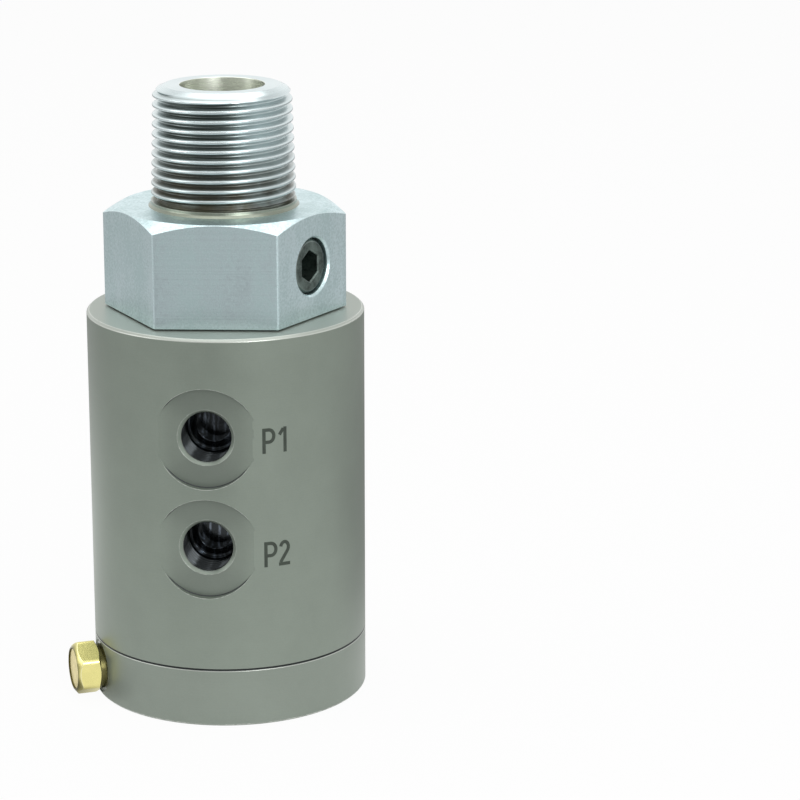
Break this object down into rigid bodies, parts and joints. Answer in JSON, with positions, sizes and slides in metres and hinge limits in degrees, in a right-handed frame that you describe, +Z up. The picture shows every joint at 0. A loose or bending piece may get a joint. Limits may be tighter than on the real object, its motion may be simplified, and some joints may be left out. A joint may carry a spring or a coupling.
{
  "type": "hydraulic rotary union",
  "caption": "Rotary union that carries two separate oil passages from side ports in a round housing into a turning hexagon shaft with a taper-threaded nose.",
  "frame": {"origin": "on the axis of rotation, at the underside of the end cap", "axes": "+Z up along the axis of rotation towards the threaded nose, -Y out of the two side ports, +X to the right when the ports are looked at"},
  "size_m": [0.0711, 0.066, 0.1473],
  "materials": {
    "anodised_housing": "satin olive-grey hard anodise, fine turned grain",
    "anodised_cap": "satin olive-grey hard anodise, fine turned grain",
    "plated_steel": "satin bright zinc plate, slightly cloudy",
    "black_steel": "black oxide, lightly oiled",
    "tube_steel": "fine turned steel",
    "bearing_steel": "ground bearing steel",
    "ball_steel": "polished",
    "cage_brass": "machined brass",
    "brass": "bright machined brass",
    "sintered_bronze": "porous sintered bronze",
    "seal_rubber": "moulded nitrile rubber",
    "seal_slip": "filled low-friction plastic",
    "spring_steel": "phosphated spring steel"
  },
  "bodies": {
    "stator": {"housing": "anodised_housing", "end_cap": "anodised_cap", "cap_screws": "black_steel", "cap_o_ring": "seal_rubber", "slip_ring_top": "seal_slip", "energiser_top": "seal_rubber", "slip_ring_middle": "seal_slip", "energiser_middle": "seal_rubber", "slip_ring_bottom": "seal_slip", "energiser_bottom": "seal_rubber", "dust_seal": "seal_rubber", "breather_body": "brass", "breather_disc": "sintered_bronze", "top_bearing_outer_ring": "bearing_steel", "low_bearing_outer_ring": "bearing_steel"},
    "rotor": {"rotor_shaft": "plated_steel", "outlet_plug": "black_steel", "flow_tube": "tube_steel", "tube_lock_ring": "black_steel", "tube_o_ring_upper": "seal_rubber", "tube_o_ring_lower": "seal_rubber", "top_bearing_inner_ring": "bearing_steel", "low_bearing_inner_ring": "bearing_steel", "shaft_circlip": "spring_steel"},
    "top_ball_set": {"top_bearing_cage": "cage_brass", "top_bearing_balls": "ball_steel"},
    "low_ball_set": {"low_bearing_cage": "cage_brass", "low_bearing_balls": "ball_steel"}
  },
  "joints": [
    {"name": "rotor_spin", "type": "hinge", "parent": "stator", "child": "rotor", "pos_m": [0, 0, 0.1], "axis": [0, 0, 1], "continuous": true},
    {"name": "top_ball_orbit", "type": "hinge", "parent": "stator", "child": "top_ball_set", "pos_m": [0, 0, 0.0855], "axis": [0, 0, 1], "continuous": true},
    {"name": "low_ball_orbit", "type": "hinge", "parent": "stator", "child": "low_ball_set", "pos_m": [0, 0, 0.0245], "axis": [0, 0, 1], "continuous": true}
  ],
  "couplings": [
    {"joint": "top_ball_orbit", "follows": "rotor_spin", "ratio": 0.445},
    {"joint": "low_ball_orbit", "follows": "rotor_spin", "ratio": 0.43613}
  ]
}
